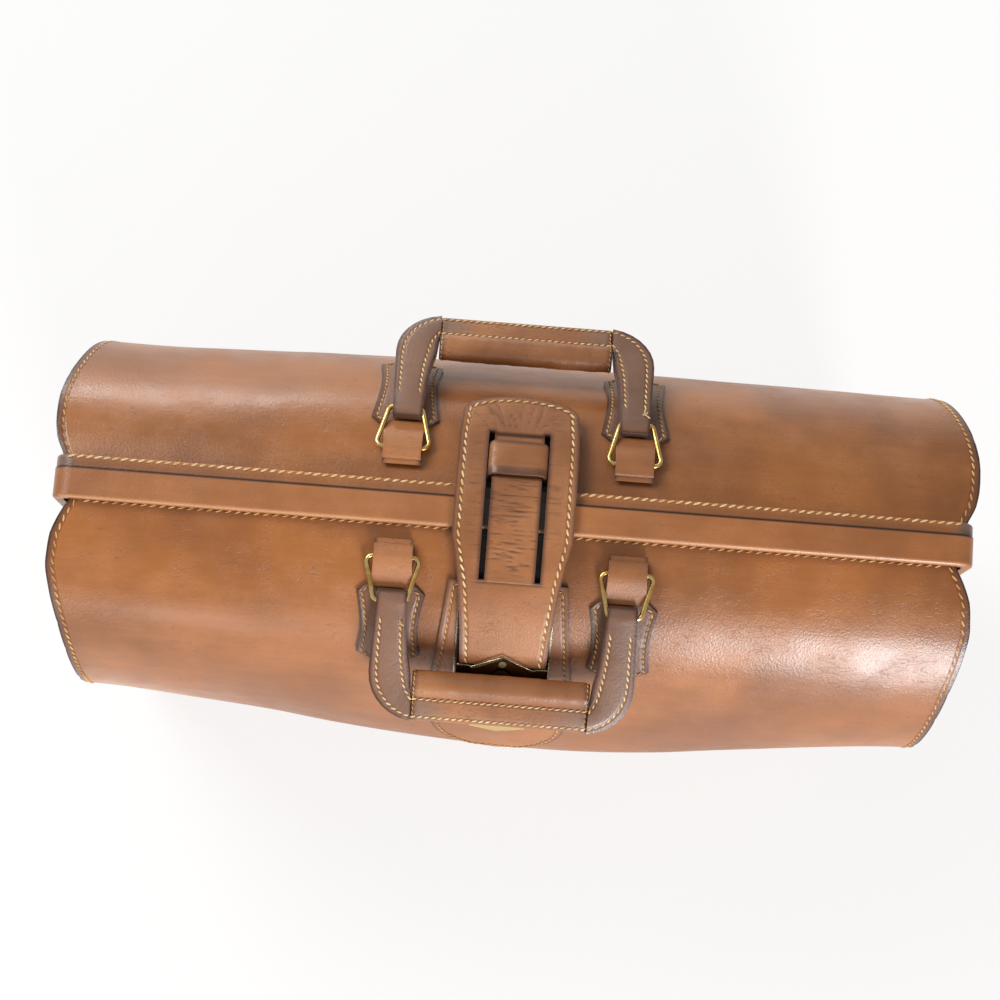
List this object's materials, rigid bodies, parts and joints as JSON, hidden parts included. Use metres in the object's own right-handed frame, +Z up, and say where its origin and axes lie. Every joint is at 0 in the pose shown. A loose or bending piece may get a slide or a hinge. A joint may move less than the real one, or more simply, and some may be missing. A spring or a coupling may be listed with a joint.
{
  "type": "briefcase",
  "caption": "Soft leather brief bag with a hinged frame mouth, a handle on ringed loops on each side, and a sliding closing strap that folds down to a brass hasp and turn lock.",
  "frame": {"origin": "middle of the bottom, on the surface that the studs stand on", "axes": "+X along the bag's length, to the right seen from the front; -Y towards the lock side; +Z up"},
  "size_m": [0.46, 0.2206, 0.307],
  "materials": {
    "panel_leather": "smooth tan leather, waxed, fine creases",
    "gusset_leather": "smooth tan leather, darker burnished edges",
    "frame_leather": "smooth tan leather stretched over steel",
    "handle_leather": "handled tan leather, darkened by use",
    "strap_leather": "creased tan bridle leather",
    "patch_leather": "smooth tan leather with stitched edges",
    "core_cord": "plain moulded rod, hidden",
    "lining_cloth": "suede-like cloth",
    "base_board": "pressed fibre board",
    "frame_steel": "dark plated steel",
    "brass": "polished brass with light wear"
  },
  "bodies": {
    "bag": {"front_panel": "panel_leather", "back_panel": "panel_leather", "left_gusset": "gusset_leather", "right_gusset": "gusset_leather", "base_panel": "gusset_leather", "base_board": "base_board", "base_studs": "brass", "lining": "lining_cloth", "hinge_pins": "frame_steel"},
    "front_jaw": {"front_frame": "frame_steel", "front_frame_cover": "frame_leather", "front_shoulder": "panel_leather", "front_left_cheek": "gusset_leather", "front_right_cheek": "gusset_leather", "front_left_loop": "strap_leather", "front_right_loop": "strap_leather", "front_left_patch": "patch_leather", "front_right_patch": "patch_leather", "lock_patch": "patch_leather", "lock_plate": "frame_steel", "lock_strike": "frame_steel", "lock_rivets": "brass"},
    "back_jaw": {"back_frame": "frame_steel", "back_frame_cover": "frame_leather", "back_shoulder": "panel_leather", "back_left_cheek": "gusset_leather", "back_right_cheek": "gusset_leather", "back_left_loop": "strap_leather", "back_right_loop": "strap_leather", "back_left_patch": "patch_leather", "back_right_patch": "patch_leather", "strap_keeper": "strap_leather"},
    "front_rings": {"front_left_ring": "brass", "front_right_ring": "brass"},
    "back_rings": {"back_left_ring": "brass", "back_right_ring": "brass"},
    "front_handle": {"front_handle_leather": "handle_leather", "front_handle_grip": "handle_leather", "front_handle_core": "core_cord"},
    "back_handle": {"back_handle_leather": "handle_leather", "back_handle_grip": "handle_leather", "back_handle_core": "core_cord"},
    "strap": {"closing_strap": "strap_leather"},
    "flap": {"strap_flap": "strap_leather", "strap_end_cap": "brass", "hasp_plate": "brass", "hasp_rivets": "brass"},
    "lock_turn": {"lock_barrel": "brass"}
  },
  "joints": [
    {"name": "front_jaw_hinge", "type": "hinge", "parent": "bag", "child": "front_jaw", "pos_m": [0, 0, 0.205], "axis": [1, 0, 0], "range_deg": [0, 33]},
    {"name": "back_jaw_hinge", "type": "hinge", "parent": "bag", "child": "back_jaw", "pos_m": [0, 0, 0.205], "axis": [-1, 0, 0], "range_deg": [0, 33]},
    {"name": "front_ring_swing", "type": "hinge", "parent": "front_jaw", "child": "front_rings", "pos_m": [0, -0.02717, 0.29671], "axis": [-1, 0, 0], "range_deg": [0, 95]},
    {"name": "back_ring_swing", "type": "hinge", "parent": "back_jaw", "child": "back_rings", "pos_m": [0, 0.02717, 0.29671], "axis": [1, 0, 0], "range_deg": [0, 95]},
    {"name": "front_handle_swing", "type": "hinge", "parent": "front_rings", "child": "front_handle", "pos_m": [0, -0.04812, 0.29289], "axis": [-1, 0, 0], "range_deg": [0, 84]},
    {"name": "back_handle_swing", "type": "hinge", "parent": "back_rings", "child": "back_handle", "pos_m": [0, 0.04812, 0.29289], "axis": [1, 0, 0], "range_deg": [0, 60]},
    {"name": "strap_slide", "type": "hinge", "parent": "back_jaw", "child": "strap", "pos_m": [0, 0, 0.205], "axis": [-1, 0, 0], "range_deg": [0, 24]},
    {"name": "flap_lift", "type": "hinge", "parent": "strap", "child": "flap", "pos_m": [0, -0.03682, 0.29894], "axis": [-1, 0, 0], "range_deg": [0, 60]},
    {"name": "key_turn", "type": "hinge", "parent": "flap", "child": "lock_turn", "pos_m": [0, -0.07844, 0.27082], "axis": [0, -0.766, 0.6428], "range_deg": [0, 90]}
  ],
  "couplings": [
    {"joint": "front_handle_swing", "follows": "flap_lift", "ratio": 1.4}
  ]
}
